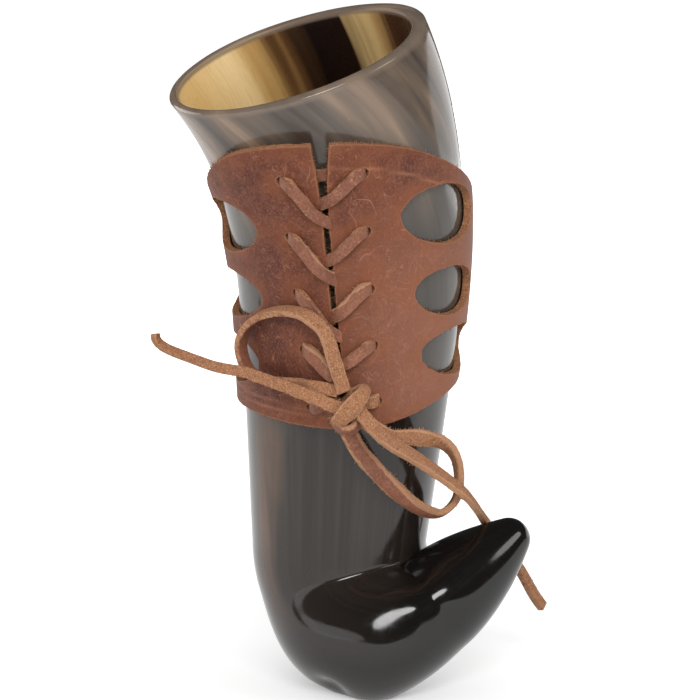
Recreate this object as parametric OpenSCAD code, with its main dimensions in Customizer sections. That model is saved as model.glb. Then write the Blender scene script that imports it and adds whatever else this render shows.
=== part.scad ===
// Drinking horn that stands on its bent tip, with a leather sleeve laced up the front.
// Millimetres. +Z is up, the lacing faces -Y, and the hook points to the right.
// The origin is on the table, at the middle of the flat sole.
// Heights are those of the horn held upright; it then leans to the front on its sole.

/* [Horn] */
// Height of the middle of the mouth above the table
mouth_h = 192; // [170:1:220]
// Outer width of the mouth
mouth_w = 78; // [66:1:88]
// Depth of the mouth as a share of its width
mouth_depth = 0.95; // [0.88:0.01:1]
// How far the mouth is carried to the left of the shaft
mouth_shift = 19; // [8:1:26]
// How far the mouth is carried to the front of the shaft
mouth_reach = 4; // [0:1:10]
// Tilt of the mouth to the left, in degrees
mouth_tilt = 17; // [6:1:24]
// Tilt of the mouth to the front, in degrees
mouth_nod = 8; // [0:1:10]
// Height at which the neck starts to lean
neck_h = 96; // [90:1:120]
// How much the neck is drawn in below the mouth
neck_waist = 0.5; // [0:0.1:2]
// Wall of the horn at the mouth
mouth_wall = 3.6; // [2.8:0.1:4.6]
// How much thicker the wall is on the right of the mouth
wall_drift = 0.9; // [0:0.1:1.5]
// Wall of the horn just above the bend
ankle_wall = 7; // [5:0.5:9]

/* [Bend and hook] */
// Height of the crease where the hook leaves the shaft
crease_h = 44; // [38:0.5:50]
// Outer width of the shaft at the crease
ankle_w = 53; // [46:1:58]
// Direction in which the bend starts, in degrees from the front towards the right
hook_turn = 41; // [30:1:55]
// Further turn of the bend to the right and back on its way to the hook, in degrees
hook_veer = 68; // [50:1:74]
// Total turn of the bend upwards, in degrees
hook_bend = 126; // [116:1:134]
// Width of the hook where it leaves the crease
hook_root_w = 31.5; // [27:0.5:36]
// Length of the hook from the crease to the start of its round end
hook_len = 32.5; // [26:0.5:38]
// Upward curl of the hook along its length, in degrees
hook_curl = 2; // [0:1:10]
// Width of the hook at its round end
tip_w = 11.5; // [9:0.5:15]
// Extra fullness of the heel
heel_bulge = 0.4; // [0:0.1:2]
// Extra fullness of the ball in front of the heel
ball_bulge = 1; // [0:0.1:2.5]
// Lean of the whole horn to the front, in degrees
stand_lean = 8; // [7:0.5:10]
// Depth of the flat that is ground under the bend
sole_cut = 2.2; // [1.8:0.1:3]

/* [Sleeve] */
// Thickness of the leather
leather_t = 2.2; // [1.6:0.1:3]
// Top edge at the front, above the table
sleeve_top = 176; // [166:1:180]
// Top edge at the back, above the table
sleeve_back = 135; // [126:1:146]
// Drop of the top edge over the left hip
left_drop = 5; // [0:0.5:8]
// Bottom edge at the front, above the table
sleeve_bottom = 90; // [84:1:96]
// Rise of the bottom edge over the right hip
hip_rise = 6.5; // [0:0.5:9]
// Width of the slit halfway up
slit_mid = 2; // [1.5:0.1:4]
// Width of the slit at its two ends
slit_end = 4.2; // [2:0.1:6]
// Sideways place of the top of the seam, seen from the front
seam_top = -14; // [-18:0.5:-8]
// Sideways place of the bottom of the seam, seen from the front
seam_bottom = -7; // [-12:0.5:-2]
// Length of the openings in the top row
window_len = 33; // [26:1:35]
// Height of the openings in the top row
window_h = 17; // [12:0.5:18]

/* [Lace] */
// Width of the lace
lace_w = 4; // [3:0.1:4.4]
// Thickness of the lace
lace_t = 2.2; // [1.6:0.1:2.6]
// Distance between the lace holes up the seam
lace_pitch = 17.2; // [15.2:0.2:17.6]
// Distance from a lace hole to the seam
lace_inset = 9; // [8:0.5:11]
// How much higher the right holes sit than the left ones
lace_skew = 2; // [0:0.5:3]

/* [Output] */
// Piece to draw

/* [Hidden] */

// Small helpers
function mix(a, b, t) = a + (b - a) * t;
function clip(t) = min(1, max(0, t));
function unit(v) = v / norm(v);
function bell(t, mid, spread) = exp(-pow((t - mid) / spread, 2));
up = [0, 0, 1];

// Colours
horn_colour = [0.30, 0.26, 0.23];
leather_colour = [0.45, 0.26, 0.20];
lace_colour = [0.70, 0.47, 0.31];

// Level directions along and across the bend, and where the shaft stands next to the sole
sole_reach = 14;
function turn_dir(turn) = [sin(turn), -cos(turn), 0];
function turn_side(turn) = [cos(turn), sin(turn), 0];
bend_dir = turn_dir(hook_turn);
shaft_at = -sole_reach * bend_dir;

// The shaft and neck: one section at each height z
shaft_drift = 7;
neck_curve = 3;
tilt_curve = 1.5;
function neck_t(z) = clip((z - neck_h) / (mouth_h - neck_h));
function body_t(z) = (z - crease_h) / (mouth_h - crease_h);
function body_side(z) = shaft_drift * body_t(z) - mouth_shift * pow(neck_t(z), neck_curve);
function body_mid(z) = shaft_at + [body_side(z), -mouth_reach * pow(neck_t(z), 2), z];
function body_tilt(z) = mouth_tilt * pow(neck_t(z), tilt_curve);
function body_nod(z) = mouth_nod * neck_t(z);
function body_x(z) = [cos(body_tilt(z)), 0, sin(body_tilt(z))];
function body_n(z) = [-sin(body_tilt(z)) * cos(body_nod(z)), -sin(body_nod(z)),
    cos(body_tilt(z)) * cos(body_nod(z))];
function body_y(z) = cross(body_n(z), body_x(z));
waist_at = 0.8;
waist_spread = 0.15;
function body_a(z) = mix(ankle_w, mouth_w, body_t(z)) / 2
    - neck_waist * bell(body_t(z), waist_at, waist_spread);
function body_b(z) = body_a(z) * mix(1, mouth_depth, body_t(z));
function body_pt(z, th, off) = body_mid(z) + (body_a(z) + off) * sin(th) * body_x(z)
    - (body_b(z) + off) * cos(th) * body_y(z);
// The section whose edge passes through height z in direction th
function section_fix(s, z, th) = s - (body_pt(s, th, 0)[2] - z);
function section_at(z, th) = section_fix(section_fix(section_fix(z, z, th), z, th), z, th);

// Sides of every section of the horn
horn_sides = 48;
horn_angles = [for (j = [0 : horn_sides - 1]) 360 * j / horn_sides];

// The bend: sections that fan out round the crease
crease_r = 2;
bend_ease = 1.25;
heel_at = 0.42;
heel_spread = 0.14;
ball_at = 0.64;
ball_spread = 0.10;
crease_pt = body_mid(crease_h) + (ankle_w / 2 + crease_r) * bend_dir;
veer_from = 20;
function ease(q) = q * q * (3 - 2 * q);
function turn_at(phi) = hook_turn + hook_veer * ease(clip((phi - veer_from) / (hook_bend - veer_from)));
function fan_dir(phi) = cos(phi) * turn_dir(turn_at(phi)) + sin(phi) * up;
function bend_r(t) = mix(ankle_w / 2, hook_root_w / 2, ease(pow(t, bend_ease)))
    + heel_bulge * bell(t, heel_at, heel_spread) + ball_bulge * bell(t, ball_at, ball_spread);
// A round section with middle c and radius r that stands across the direction phi of the bend
function hook_ring(c, r, phi) = [for (a = horn_angles) c + r * cos(a - hook_turn) * fan_dir(phi)
    + r * sin(a - hook_turn) * turn_side(turn_at(phi))];
function bend_mid(t) = crease_pt - (bend_r(t) + crease_r) * fan_dir(hook_bend * t);
function bend_ring(t) = hook_ring(bend_mid(t), bend_r(t), hook_bend * t);

// The hook: a tapering horn end that curls on from the bend
hook_taper = 1.7;
hook_root = crease_pt - (hook_root_w / 2 + crease_r) * fan_dir(hook_bend);
function hook_phi(u) = hook_bend + hook_curl * u / hook_len;
function hook_dir(phi) = sin(phi) * turn_dir(turn_at(phi)) - cos(phi) * up;
function hook_mid(u) = hook_root + u * hook_dir(hook_bend + hook_curl * u / hook_len / 2);
function hook_r(u) = mix(hook_root_w, tip_w, pow(u / hook_len, hook_taper)) / 2;
tip_dir = hook_dir(hook_bend + hook_curl);
// The round end starts at the slope of the hook's side
tip_q = atan((hook_root_w - tip_w) / 2 * hook_taper / hook_len);
tip_r = tip_w / 2 / cos(tip_q);
tip_mid = hook_mid(hook_len) - tip_r * sin(tip_q) * tip_dir;
function tip_ring(q) = hook_ring(tip_mid + tip_r * sin(q) * tip_dir, tip_r * cos(q), hook_bend + hook_curl);
tip_pole = tip_mid + tip_r * tip_dir;

// The lip and the hollow
lip_h = 1.3;
floor_rise = 5;
hollow_floor = crease_h + floor_rise;
hollow_round = 14;
function wall(z, th) = mix(ankle_wall, mouth_wall, body_t(z)) + wall_drift * sin(th) * body_t(z);
function lip_pt(q, th) = body_pt(mouth_h, th, -wall(mouth_h, th) / 2 * (1 - cos(q)))
    + lip_h * sin(q) * body_n(mouth_h);
function hollow_pt(z, th, share) = mix(body_mid(z), body_pt(z, th, -wall(z, th)), share);

// Rings of the horn from the tip, up the outside, over the lip and down the hollow
tip_steps = [mix(tip_q, 90, 2 / 3), mix(tip_q, 90, 1 / 3)];
hook_steps = 7;
bend_steps = 22;
body_steps = 12;
lip_steps = [45, 90, 135];
hollow_steps = 9;
floor_steps = [25, 50, 72];
function floor_z(q) = hollow_floor + hollow_round * (1 - sin(q));
function hook_u(i) = hook_len * (1 - i / hook_steps);
function body_z(i) = mix(crease_h, mouth_h, i / body_steps);
function hollow_z(i) = mix(mouth_h, floor_z(0), i / hollow_steps);
horn_rings = concat(
    [for (q = tip_steps) tip_ring(q)],
    [for (i = [0 : hook_steps]) hook_ring(hook_mid(hook_u(i)), hook_r(hook_u(i)), hook_phi(hook_u(i)))],
    [for (i = [1 : bend_steps]) bend_ring(1 - i / bend_steps)],
    [for (i = [1 : body_steps]) [for (a = horn_angles) body_pt(body_z(i), a, 0)]],
    [for (q = lip_steps) [for (a = horn_angles) lip_pt(q, a)]],
    [for (i = [0 : hollow_steps]) [for (a = horn_angles) hollow_pt(hollow_z(i), a, 1)]],
    [for (q = floor_steps) [for (a = horn_angles) hollow_pt(floor_z(q), a, cos(q))]]
);
hollow_pole = body_mid(hollow_floor);

// How the horn stands: it leans to the front, on a flat ground under the bend
function lean_pt(p) = [p[0], p[1] * cos(stand_lean) - p[2] * sin(stand_lean),
    p[1] * sin(stand_lean) + p[2] * cos(stand_lean)];
bend_pts = [for (i = [1 : bend_steps]) for (p = bend_ring(1 - i / bend_steps)) lean_pt(p)];
sole_h = min([for (p = bend_pts) p[2]]) + sole_cut;
sole_pts = [for (p = bend_pts) if (p[2] < sole_h) p];
function middle(v) = (min(v) + max(v)) / 2;
sole_mid = [middle([for (p = sole_pts) p[0]]), middle([for (p = sole_pts) p[1]]), sole_h];
module stand() {
    translate(-sole_mid)
        rotate([stand_lean, 0, 0])
            children();
}

// Triangles that join rings of n points each, closed by a pole at each end
function quad(a, b, c, d) = [[a, b, c], [a, c, d]];
function ring_faces(rows, n) = [for (b = [0 : n : (rows - 2) * n]) for (j = [0 : n - 1])
    let (k = (j + 1) % n) each quad(b + j, b + n + j, b + n + k, b + k)];
function pole_faces(rows, n) = let (first = rows * n, last = (rows - 1) * n)
    [for (j = [0 : n - 1]) let (k = (j + 1) % n) each [[first, j, k], [last + j, first + 1, last + k]]];

// The sleeve: a sheet over the shaft, lifted off it beside the slit
fit_gap = 0.3;
flap_room = 1;
flap_lift = lace_t + flap_room;
flap_spread = 30;
function edge_top(tau) = sleeve_back + (sleeve_top - sleeve_back) * (1 + cos(tau)) / 2
    - left_drop * pow(max(0, -sin(tau)), 4);
function edge_bottom(tau) = sleeve_bottom + hip_rise * pow(max(0, sin(tau)), 2);
function seam_v(z) = clip((z - sleeve_bottom) / (sleeve_top - sleeve_bottom));
function seam(z) = asin((mix(seam_bottom, seam_top, seam_v(z)) - body_mid(z)[0]) / body_a(z));
function slit_w(v) = mix(slit_mid, slit_end, pow(2 * v - 1, 2));
function near_tau(tau) = tau > 180 ? tau - 360 : tau;
function lift(tau) = fit_gap + flap_lift * bell(near_tau(tau), 0, flap_spread);
// A point of the sheet: tau degrees round from the seam, z above the table, off out from its inner face
function sheet_pt(tau, z, off) = let (th = seam(z) + tau)
    body_pt(section_at(z, th), th, lift(tau) + off);
sheet_cols = 64;
sheet_rows = 10;
function round_angle(length, r) = length / r * 180 / PI;
function slit_tau(v) = round_angle(slit_w(v), body_a(sleeve_bottom)) / 2;
function sheet_tau(i, v) = mix(slit_tau(v), 360 - slit_tau(v), i / sheet_cols);
function sheet_row(i, k, off) = let (v = k / sheet_rows, tau = sheet_tau(i, v))
    sheet_pt(tau, mix(edge_bottom(tau), edge_top(tau), v), off);
function sheet_loop(i) = concat([for (k = [0 : sheet_rows]) sheet_row(i, k, leather_t)],
    [for (k = [sheet_rows : -1 : 0]) sheet_row(i, k, 0)]);
sheet_n = 2 * (sheet_rows + 1);
sheet_pts = [for (i = [0 : sheet_cols]) each sheet_loop(i)];
sheet_end = sheet_cols * sheet_n;
sheet_faces = concat(
    [for (b = [0 : sheet_n : sheet_end - sheet_n]) for (j = [0 : sheet_n - 1])
        let (k = (j + 1) % sheet_n) each quad(b + j, b + k, b + sheet_n + k, b + sheet_n + j)],
    [for (j = [0 : sheet_rows - 1]) let (m = sheet_n - 1 - j)
        each quad(j, m, m - 1, j + 1)],
    [for (j = [0 : sheet_rows - 1]) let (a = sheet_end + j, m = sheet_end + sheet_n - 1 - j)
        each quad(a, a + 1, m - 1, m)]
);

// The openings in the sleeve: rows from the top, each with a left and a right opening
row_z = [[146, 151], [124, 127.5], [103.5, 107.5]];
row_len = [[1.07, 1], [1.24, 0.92], [1.2, 1.2]];
row_high = [[0.94, 1], [0.84, 0.85], [0.84, 0.88]];
row_tau = [[-62, 58], [-72, 62], [-78, 74]];
window_slant = 8;
window_end = 0.55;
cut_depth = 12;
cut_facets = 28;
hole_room = 0.9;
hole_d = lace_w + hole_room;
hole_stretch = 0.8;
hole_facets = 16;
hole_tau = round_angle(lace_inset, body_a(sleeve_top - lace_pitch));
hole_drop = 10;
hole_top = sleeve_top - hole_drop;
hole_rows = 5;
function hole_z(k, side) = hole_top - k * lace_pitch + side * lace_skew / 2;

// Turns a shape that points along Z so that it points out of the sheet
module out_of_sheet(tau, z) {
    th = seam(z) + tau;
    translate(sheet_pt(tau, z, 0))
        rotate([90, 0, th])
            children();
}

module window(row, side) {
    r = window_h * row_high[row][side] / 2;
    reach = window_len * row_len[row][side] / 2 - window_end * r;
    out_of_sheet(row_tau[row][side], row_z[row][side])
        rotate([0, 0, (side == 0 ? 1 : -1) * window_slant])
            hull() {
                for (end = [-1, 0, 1])
                    translate([end * reach, 0, -cut_depth])
                        cylinder(r = end == 0 ? r : window_end * r, h = 2 * cut_depth,
                            $fn = cut_facets);
            }
}

module lace_hole(k, side) {
    out_of_sheet(side * hole_tau, hole_z(k, side))
        hull() {
            for (end = [-1, 1])
                translate([end * hole_stretch / 2, 0, -cut_depth / 2])
                    cylinder(d = hole_d, h = cut_depth, $fn = hole_facets);
        }
}

// A flat lace swept along a route; hint is the way its width points, grow is extra size on each side
edge_w = 0.75;
edge_t = 0.45;
lace_section = [[1, edge_t], [edge_w, 1], [-edge_w, 1], [-1, edge_t],
    [-1, -edge_t], [-edge_w, -1], [edge_w, -1], [1, -edge_t]];
lace_n = len(lace_section);
function tangent(p, i) = unit(p[min(i + 1, len(p) - 1)] - p[max(i - 1, 0)]);
function across(t, hint) = unit(hint - (hint * t) * t);
function lace_ring(p, i, hint, grow) = let (t = tangent(p, i), w = across(t, hint), n = cross(t, w))
    [for (s = lace_section) p[i] + s[0] * (lace_w / 2 + grow) * w + s[1] * (lace_t / 2 + grow) * n];
module lace(p, hint, grow = 0) {
    rows = len(p);
    points = concat([for (i = [0 : rows - 1]) each lace_ring(p, i, hint, grow)], [p[0], p[rows - 1]]);
    faces = concat(ring_faces(rows, lace_n), pole_faces(rows, lace_n));
    polyhedron(points = points, faces = faces, convexity = 10);
}
// A smooth route through hand-set points
function curve_pt(a, b, c, d, t) = b + (c - a) * t / 2 + (2 * a - 5 * b + 4 * c - d) * t * t / 2
    + (3 * b - a - 3 * c + d) * t * t * t / 2;
function curve_at(p, i, t) = curve_pt(p[max(i - 1, 0)], p[i], p[i + 1], p[min(i + 2, len(p) - 1)], t);
function smooth(p, steps) = concat(
    [for (i = [0 : len(p) - 2]) for (k = [0 : steps - 1]) curve_at(p, i, k / steps)],
    [p[len(p) - 1]]);

// Levels of the lace over, inside and under the sheet, measured from its inner face
lace_gap = 0.3;
over = leather_t + lace_t / 2 + lace_gap;
within = leather_t / 2;
under = -lace_t / 2 - lace_gap;
turn_in = 2.6;
turn_out = 0.6;
// Where a strand passes, as shares of its way from the hole to the slit
near_hole = 0.6;
near_slit = 0.3;
fall_over = [0.42, 0.75];
fall_under = [0.25, 0.6];
drop_left = 12.5;
drop_right = 8.5;
last_drop = 0.75;
// One strand: out of hole k, down over its flap, through the slit and up out of the next hole across it
function strand(k, side, drop) = let (z = hole_z(k, side), e = hole_z(k + 1, -side), s = z - drop) [
    sheet_pt(side * (hole_tau - turn_in), z, over),
    sheet_pt(side * near_hole * hole_tau, mix(z, s, fall_over[0]), over),
    sheet_pt(side * near_slit * hole_tau, mix(z, s, fall_over[1]), over),
    sheet_pt(0, s, within),
    sheet_pt(-side * near_slit * hole_tau, mix(s, e, fall_under[0]), under),
    sheet_pt(-side * near_hole * hole_tau, mix(s, e, fall_under[1]), under),
    sheet_pt(-side * (hole_tau - turn_in), e, under),
    sheet_pt(-side * (hole_tau + turn_out), e, within)
];
function start(side) = [sheet_pt(side * (hole_tau - turn_in), hole_z(0, side), under),
    sheet_pt(side * (hole_tau + turn_out), hole_z(0, side), within)];

// The knot: a turn of lace that leans over the two ends of the lacing and rests on the leather
knot_tau = 3;
knot_rise = 1.3;
knot_long = 6;
knot_deep = 3;
knot_lean = 50;
knot_z = hole_z(hole_rows - 1, 0) + knot_rise;
knot_at = sheet_pt(knot_tau, knot_z, leather_t + lace_gap + knot_deep + lace_t / 2);
wrap_dir = [cos(knot_lean), 0, sin(knot_lean)];
wrap_axis = [sin(knot_lean), 0, -cos(knot_lean)];
wrap_route = [for (q = [0 : 20 : 340])
    knot_at + knot_long * cos(q) * wrap_dir + [0, knot_deep * sin(q), 0]];
end_tau = 4;
end_lift = 1.5;
function finish(side) = let (z = hole_z(hole_rows - 1, side)) [
    sheet_pt(side * (hole_tau - turn_in), z, over),
    sheet_pt(side * near_hole * hole_tau, mix(z, knot_z, near_hole), over),
    sheet_pt(knot_tau + side * end_tau, knot_z, over + end_lift)
];
function half_lacing(first, drop_first, drop_next) = concat(start(first),
    strand(0, first, drop_first), strand(1, -first, drop_next),
    strand(2, first, drop_first), strand(3, -first, last_drop * drop_next));
left_half = concat(half_lacing(-1, drop_left, drop_right), finish(-1));
right_half = concat(half_lacing(1, drop_right, drop_left), finish(1));
bar = [sheet_pt(0, hole_z(0, 0), under)];
lacing_route = concat([for (i = [len(right_half) - 1 : -1 : 0]) right_half[i]], bar, left_half);

// The bow: hand-set routes, measured from the middle of the knot
function from_knot(p) = [for (q = p) knot_at + q];
lobe_route = from_knot([[-3, 2.5, -0.5], [-4, 0.5, -4.5], [-2, -1, -7], [1, -0.5, -6.5],
    [2.5, 1.5, -3.5], [2, 2.5, 0.5]]);
left_loop_route = from_knot([[-2, -1, 4.5], [-4.5, -1.5, 13.5], [-7, -2, 22], [-12.5, -1, 27],
    [-20, 6, 26.5], [-27.5, 14, 22], [-31.5, 19.5, 15], [-31.5, 20, 9], [-28, 15.5, 4.5], [-19, 8, 4.5],
    [-10, 2, 5], [-3.5, 0.5, 4]]);
right_loop_route = from_knot([[3, 1.5, -4], [5.5, 2, -6.5], [11.5, 5, -11], [19, 10.5, -13],
    [26.5, 15.5, -16], [31, 18.5, -22], [32, 20, -30.5], [30.5, 19.5, -36], [25.5, 18, -39],
    [18, 13.5, -34.5], [9.5, 8.5, -25], [3, 4, -16.5], [-0.5, 1, -9.5], [-1, 0, -7]]);
left_tail_route = from_knot([[-3, -1, -0.5], [-14.5, 0.5, 4], [-24.5, 8, 5.5], [-30.5, 13.5, 6],
    [-39, 19, 6], [-47, 23.5, 7.5], [-54, 28, 9], [-57, 29.5, 11], [-57.5, 30, 13]]);
right_tail_route = from_knot([[2.5, -1.5, -1], [8, -2, -7.5], [14.5, 2.5, -13.5], [23.5, 8.5, -21.5],
    [32.5, 13, -30], [36.5, 20.5, -36.8], [40.5, 37.5, -47.7], [47, 50, -60.5], [52.5, 53.5, -69.5],
    [57, 56.5, -78.5], [60, 58.5, -83.5]]);
loop_hint = [0.4, -0.8, 0.45];
tail_hint = [0.1, 0.2, 1];
hang_hint = [0.8, 0.1, 0.6];
bow_steps = 2;
// Room between a lace and the hole, slit or knot that it runs into
lace_fit = 0.2;

module horn() {
    color(horn_colour)
        difference() {
            stand()
                polyhedron(points = concat([for (r = horn_rings) each r], [tip_pole, hollow_pole]),
                    faces = concat(ring_faces(len(horn_rings), horn_sides),
                        pole_faces(len(horn_rings), horn_sides)),
                    convexity = 10);
            translate([-mouth_w, -mouth_w, -mouth_w])
                cube([2 * mouth_w, 2 * mouth_w, mouth_w]);
        }
}

module leather_sleeve() {
    color(leather_colour)
        difference() {
            polyhedron(points = sheet_pts, faces = sheet_faces, convexity = 10);
            lace(lacing_route, up, lace_fit);
            for (row = [0 : 2])
                for (side = [0, 1])
                    window(row, side);
            for (k = [0 : hole_rows - 1])
                for (side = [-1, 1])
                    lace_hole(k, side);
        }
}

module knot_form(grow = 0) {
    hull()
        lace(wrap_route, wrap_axis, grow);
    lace(smooth(lobe_route, bow_steps), loop_hint, grow);
}

// A strand of the lace that runs into the knot
module strand_from_knot(p, hint) {
    color(lace_colour)
        difference() {
            lace(p, hint);
            knot_form(lace_fit);
        }
}

module lacing() {
    strand_from_knot(lacing_route, up);
}

module bow_knot() {
    color(lace_colour)
        knot_form();
}

module left_loop() {
    strand_from_knot(smooth(left_loop_route, bow_steps), loop_hint);
}

module right_loop() {
    strand_from_knot(smooth(right_loop_route, bow_steps), loop_hint);
}

module left_tail() {
    strand_from_knot(smooth(left_tail_route, bow_steps), tail_hint);
}

module right_tail() {
    strand_from_knot(smooth(right_tail_route, bow_steps), hang_hint);
}

horn();
stand() leather_sleeve();
stand() lacing();
stand() bow_knot();
stand() left_loop();
stand() right_loop();
stand() left_tail();
stand() right_tail();
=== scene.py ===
# %% [markdown]
# A drinking horn with a laced leather sleeve
# The real object is three things: a polished cattle horn whose tip was bent to a hook so that
# it stands, a leather sleeve cut flat and wrapped round the shaft, and one long suede lace that
# closes the sleeve and ends in a bow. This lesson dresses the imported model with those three.
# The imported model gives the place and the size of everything, so nothing is fitted by eye.

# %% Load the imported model
import math
import random

import bmesh
import bpy
from mathutils import Matrix, Vector, noise


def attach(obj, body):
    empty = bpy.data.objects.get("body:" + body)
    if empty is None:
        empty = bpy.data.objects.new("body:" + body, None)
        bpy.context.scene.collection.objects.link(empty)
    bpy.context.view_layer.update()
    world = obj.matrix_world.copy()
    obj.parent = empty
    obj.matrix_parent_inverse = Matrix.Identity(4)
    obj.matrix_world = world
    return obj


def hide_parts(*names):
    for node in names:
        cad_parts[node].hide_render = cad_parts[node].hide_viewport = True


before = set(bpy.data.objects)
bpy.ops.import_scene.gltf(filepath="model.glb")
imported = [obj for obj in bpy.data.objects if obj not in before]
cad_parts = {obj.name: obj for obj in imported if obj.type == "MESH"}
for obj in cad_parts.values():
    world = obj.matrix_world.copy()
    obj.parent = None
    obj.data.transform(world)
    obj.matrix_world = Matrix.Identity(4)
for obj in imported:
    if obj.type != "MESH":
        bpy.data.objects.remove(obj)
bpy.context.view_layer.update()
MM = 0.001
NOISE_SEED = 7
noise.seed_set(NOISE_SEED)
print("nodes:", ", ".join(sorted(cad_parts)))

# %% [markdown]
# The camera comes first, because every later choice is judged through it. The photograph looks
# down by 8 degrees from a long way off, so the lens is long and the outline hardly tapers. A
# camera could be aimed with a constraint, but a plain rotation says the same in one line.

# %% Camera
VIEW_DOWN = math.radians(8)
VIEW_FAR = 900 * MM
VIEW_WIDE = 209 * MM
VIEW_AT = Vector((-3.35, 7.28, 102.84)) * MM
SENSOR = 36

camera_data = bpy.data.cameras.new("photo_camera")
camera_data.sensor_width = SENSOR
camera_data.lens = SENSOR * VIEW_FAR / VIEW_WIDE
camera = bpy.data.objects.new("photo_camera", camera_data)
camera.location = VIEW_AT + VIEW_FAR * Vector((0, -math.cos(VIEW_DOWN), math.sin(VIEW_DOWN)))
camera.rotation_euler = (math.pi / 2 - VIEW_DOWN, 0, 0)
bpy.context.scene.collection.objects.link(camera)
bpy.context.scene.camera = camera
print("lens in mm:", round(camera_data.lens, 1))

# %% [markdown]
# Materials are built from nodes in code. Wiring nodes by hand takes many lines, so one helper
# adds a node and connects whatever is given: a socket is linked and a plain value is set. The
# rest are short names for the nodes that every finish uses.

# %% Node helpers
def connect(tree, node, inputs):
    for key, value in inputs.items():
        if isinstance(value, bpy.types.NodeSocket):
            tree.links.new(value, node.inputs[key])
        else:
            node.inputs[key].default_value = value


def put(tree, kind, inputs=None, **settings):
    made = tree.nodes.new(kind)
    for name, value in settings.items():
        setattr(made, name, value)
    connect(tree, made, inputs or {})
    return made


def blend(tree, share, low, high, how="MIX"):
    """Two colours mixed by a share from 0 to 1."""
    made = put(tree, "ShaderNodeMix", {0: share, 6: low, 7: high}, data_type="RGBA", blend_type=how)
    return made.outputs[2]


def ranged(tree, value, start, end, low=0.0, high=1.0):
    """A value that goes from low to high while the input goes from start to end."""
    places = {"Value": value, "From Min": start, "From Max": end, "To Min": low, "To Max": high}
    return put(tree, "ShaderNodeMapRange", places).outputs[0]


def single(tree, how, value):
    return put(tree, "ShaderNodeMath", {0: value}, operation=how).outputs[0]


def sums(tree, how, a, b):
    return put(tree, "ShaderNodeMath", {0: a, 1: b}, operation=how).outputs[0]


def times(tree, a, b):
    return sums(tree, "MULTIPLY", a, b)


def plus(tree, a, b):
    return sums(tree, "ADD", a, b)


def cloud(tree, where, scale, detail=3.0, rough=0.55, bend=0.0):
    """Soft noise; scale is in waves per unit of the coordinates."""
    values = {"Vector": where, "Scale": scale, "Detail": detail, "Roughness": rough, "Distortion": bend}
    return put(tree, "ShaderNodeTexNoise", values).outputs["Fac"]


def moved(tree, where, scale=(1, 1, 1), turn=(0, 0, 0)):
    return put(tree, "ShaderNodeMapping", {"Vector": where, "Scale": scale, "Rotation": turn}).outputs[0]


def ramp(tree, value, stops):
    made = put(tree, "ShaderNodeValToRGB", {"Fac": value})
    bar = made.color_ramp.elements
    while len(bar) < len(stops):
        bar.new(1)
    for element, (place, colour) in zip(bar, stops):
        element.position = place
        element.color = (*colour, 1)
    return made.outputs["Color"]


def attribute(tree, name, socket="Fac"):
    return put(tree, "ShaderNodeAttribute", attribute_name=name).outputs[socket]


def object_place(tree):
    return put(tree, "ShaderNodeTexCoord").outputs["Object"]


def new_material(name):
    material = bpy.data.materials.new(name)
    material.use_nodes = True
    tree = material.node_tree
    tree.nodes.clear()
    surface = put(tree, "ShaderNodeBsdfPrincipled")
    put(tree, "ShaderNodeOutputMaterial", {"Surface": surface.outputs[0]})
    return material, tree, surface


def feed(tree, surface, **sockets):
    """Fills the surface's inputs; an underscore stands for a space in the input's name."""
    connect(tree, surface, {name.replace("_", " "): value for name, value in sockets.items()})


# %% [markdown]
# The studio is a white floor and five oval lamps: a key light high in front, a fill on the right,
# a low card on the left and a panel behind each side. The horn is so glossy that it shows them:
# the panels make the grey veil on its dark sides, and the key light makes the highlights on its
# hook. Oval lamps keep those highlights free of corners. The floor gives a little light of its
# own to the camera and to reflections, which makes it white and keeps the shadow.

# %% Studio
FLOOR_SIZE = 6
FLOOR_COLOUR = (0.86, 0.86, 0.86, 1)
FLOOR_GLOW = 0.30
FLOOR_DROP = 0.05 * MM
GLOW_FROM, GLOW_TO, GLOW_FAR = 0.12, 0.9, 0.9
SKY_SOFT = 0.62
SKY_SEEN = 1.05
SKY_MIRRORED = 0.05


def floor_material():
    material, tree, surface = new_material("studio_floor")
    path = put(tree, "ShaderNodeLightPath").outputs
    seen = sums(tree, "MAXIMUM", path["Is Camera Ray"], path["Is Glossy Ray"])
    seen = sums(tree, "MAXIMUM", seen, path["Is Transmission Ray"])
    place = object_place(tree)
    away = put(tree, "ShaderNodeVectorMath", {0: place}, operation="LENGTH").outputs["Value"]
    far = times(tree, ranged(tree, away, GLOW_FROM, GLOW_TO, 0.0, GLOW_FAR), path["Is Camera Ray"])
    glow = plus(tree, times(tree, seen, FLOOR_GLOW), far)
    feed(tree, surface, Base_Color=FLOOR_COLOUR, Roughness=1.0, Specular_IOR_Level=0.0)
    feed(tree, surface, Emission_Color=(1, 1, 1, 1), Emission_Strength=glow)
    return material


def make_floor():
    mesh = bpy.data.meshes.new("studio_floor")
    bm = bmesh.new()
    bmesh.ops.create_grid(bm, x_segments=2, y_segments=2, size=FLOOR_SIZE / 2)
    bm.to_mesh(mesh)
    bm.free()
    mesh.materials.append(floor_material())
    floor = bpy.data.objects.new("studio_floor", mesh)
    floor.location.z = -FLOOR_DROP
    bpy.context.scene.collection.objects.link(floor)


def make_sky():
    world = bpy.data.worlds.new("studio_sky")
    world.use_nodes = True
    tree = world.node_tree
    tree.nodes.clear()
    path = put(tree, "ShaderNodeLightPath").outputs
    strength = ranged(tree, path["Is Glossy Ray"], 0, 1, SKY_SOFT, SKY_MIRRORED)
    strength = sums(tree, "MAXIMUM", strength, times(tree, path["Is Camera Ray"], SKY_SEEN))
    sky = put(tree, "ShaderNodeBackground", {"Color": (1, 1, 1, 1), "Strength": strength})
    put(tree, "ShaderNodeOutputWorld", {"Surface": sky.outputs[0]})
    bpy.context.scene.world = world


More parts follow.
